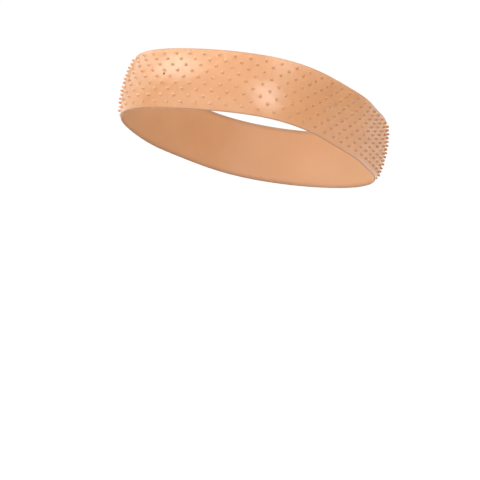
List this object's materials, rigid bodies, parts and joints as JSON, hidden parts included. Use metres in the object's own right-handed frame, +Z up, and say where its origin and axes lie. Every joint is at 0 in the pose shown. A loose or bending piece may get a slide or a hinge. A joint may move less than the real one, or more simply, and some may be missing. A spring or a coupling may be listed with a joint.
{
  "type": "silicone wig grip band",
  "caption": "Closed loop of thin tan silicone with staggered rows of small raised nubs, worn round the head under a wig to stop it slipping.",
  "frame": {"origin": "inside the loop, level with its widest place, on the line where the head passes through it", "axes": "+Z up the head, -Y towards the forehead, +X towards the wearer's left"},
  "size_m": [0.1554, 0.1918, 0.1058],
  "materials": {
    "silicone": "soft satin, slightly translucent tan silicone"
  },
  "bodies": {
    "root": {"grip_band": "silicone"}
  },
  "joints": []
}
